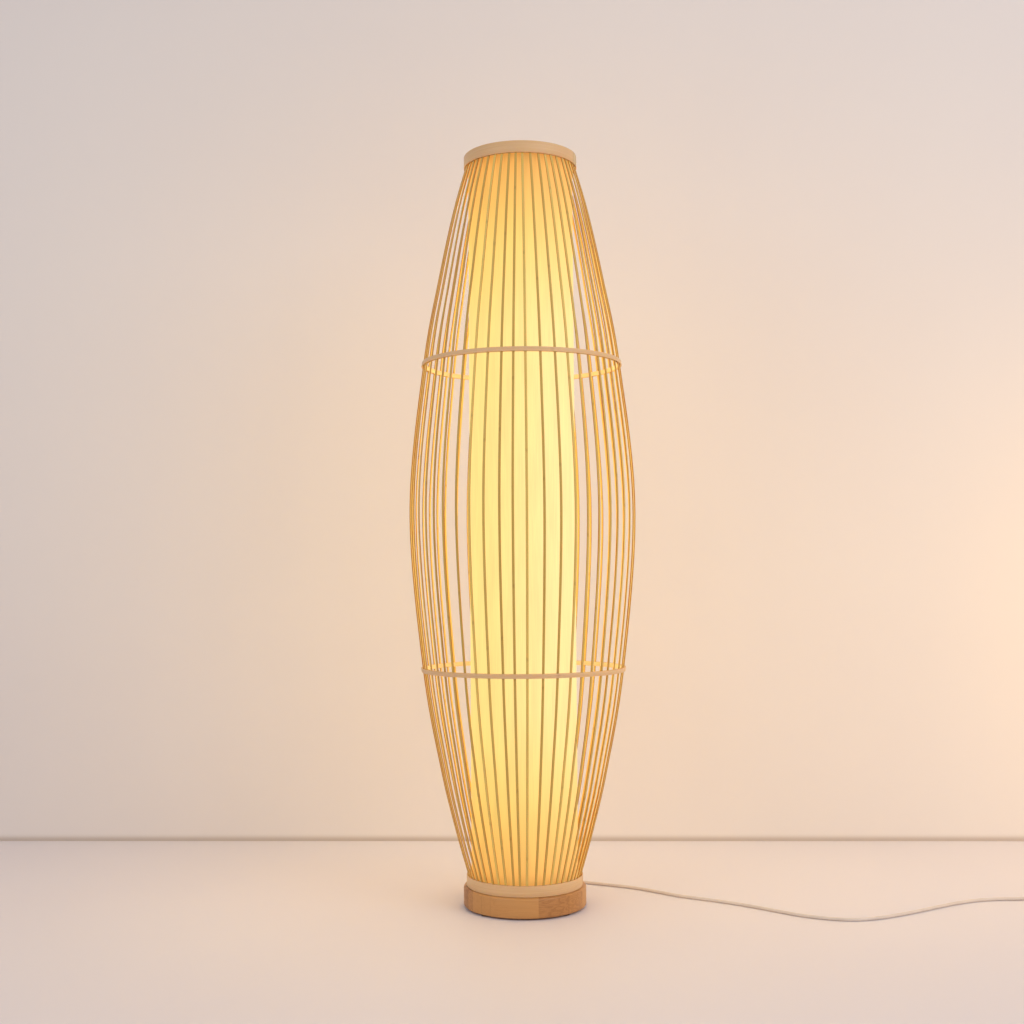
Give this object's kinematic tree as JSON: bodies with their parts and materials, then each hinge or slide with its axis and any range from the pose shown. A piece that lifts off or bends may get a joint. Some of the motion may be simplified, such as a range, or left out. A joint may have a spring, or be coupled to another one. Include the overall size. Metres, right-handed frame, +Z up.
{
  "type": "floor lamp",
  "caption": "Tall barrel cage of bent bamboo slats round a lit fabric tube shade, on a low turned wooden base with a flex, foot switch and plug.",
  "frame": {"origin": "on the floor, below the middle of the lamp", "axes": "+Z up the lamp's axis, -Y towards the front that the picture shows, +X to its right"},
  "size_m": [1.193, 0.3624, 1.2],
  "materials": {
    "slat_bamboo": "satin varnish",
    "band_bamboo": "satin varnish",
    "base_wood": "satin varnish",
    "shade_fabric": "backed cloth",
    "opal_globe": "opal",
    "white_plastic": "satin",
    "flex_skin": "satin",
    "zinc_steel": "zinc plated",
    "brass_plate": "satin",
    "felt": "felt"
  },
  "bodies": {
    "base": {"flex_coil": "flex_skin", "flex_to_switch": "flex_skin", "base_disc": "base_wood", "main_lead": "flex_skin", "switch_upper_shell": "white_plastic", "ballast_plate": "zinc_steel", "locating_disc": "base_wood", "switch_lower_shell": "white_plastic", "holder_arm": "zinc_steel", "base_flange": "brass_plate", "lower_sleeve": "brass_plate", "lower_holder_cap": "white_plastic", "lower_holder_shell": "white_plastic", "upper_holder_cap": "white_plastic", "upper_holder_shell": "white_plastic", "branch_lead": "flex_skin", "pole_washer": "zinc_steel", "upper_sleeve": "brass_plate", "lower_holder_insulator": "white_plastic", "lower_holder_thread": "brass_plate", "upper_holder_insulator": "white_plastic", "upper_holder_thread": "brass_plate", "flex_to_coil": "flex_skin", "ballast_screw_1": "zinc_steel", "ballast_screw_2": "zinc_steel", "ballast_screw_3": "zinc_steel", "threaded_tube": "zinc_steel", "arm_nipple": "zinc_steel", "flex_to_plug": "flex_skin", "pole_nut": "zinc_steel", "arm_nut": "zinc_steel", "strain_relief": "flex_skin", "plug_pin_1": "brass_plate", "plug_pin_2": "brass_plate", "foot_pad_1": "felt", "foot_pad_2": "felt", "foot_pad_3": "felt", "foot_pad_4": "felt", "plug_tail": "flex_skin", "switch_inlet_sleeve": "flex_skin", "switch_outlet_sleeve": "flex_skin", "plug_body": "flex_skin"},
    "cage": {"slat_cage": "slat_bamboo", "top_band_liner": "band_bamboo", "bottom_band": "band_bamboo", "top_band": "band_bamboo", "lower_hoop": "band_bamboo", "lower_hoop_liner": "band_bamboo", "upper_hoop": "band_bamboo", "upper_hoop_liner": "band_bamboo", "shade": "shade_fabric", "shade_bottom_wire": "zinc_steel", "shade_top_wire": "zinc_steel"},
    "upper_bulb": {"upper_bulb_globe": "opal_globe", "upper_bulb_cap": "zinc_steel", "upper_bulb_collar": "white_plastic"},
    "lower_bulb": {"lower_bulb_globe": "opal_globe", "lower_bulb_cap": "zinc_steel", "lower_bulb_collar": "white_plastic"},
    "foot_button": {"switch_button": "white_plastic"}
  },
  "joints": [
    {"name": "cage_lift", "type": "slide", "parent": "base", "child": "cage", "axis": [0, 0, 1], "range_m": [0, 0.86]},
    {"name": "upper_bulb_out", "type": "slide", "parent": "base", "child": "upper_bulb", "axis": [0, 0, 1], "range_m": [0, 0.028]},
    {"name": "lower_bulb_out", "type": "slide", "parent": "base", "child": "lower_bulb", "axis": [0, 0, 1], "range_m": [0, 0.028]},
    {"name": "foot_button_press", "type": "slide", "parent": "base", "child": "foot_button", "axis": [0, 0, 1], "range_m": [-0.003, 0], "stiffness_N_per_m": 600, "springref_m": 0.001}
  ]
}
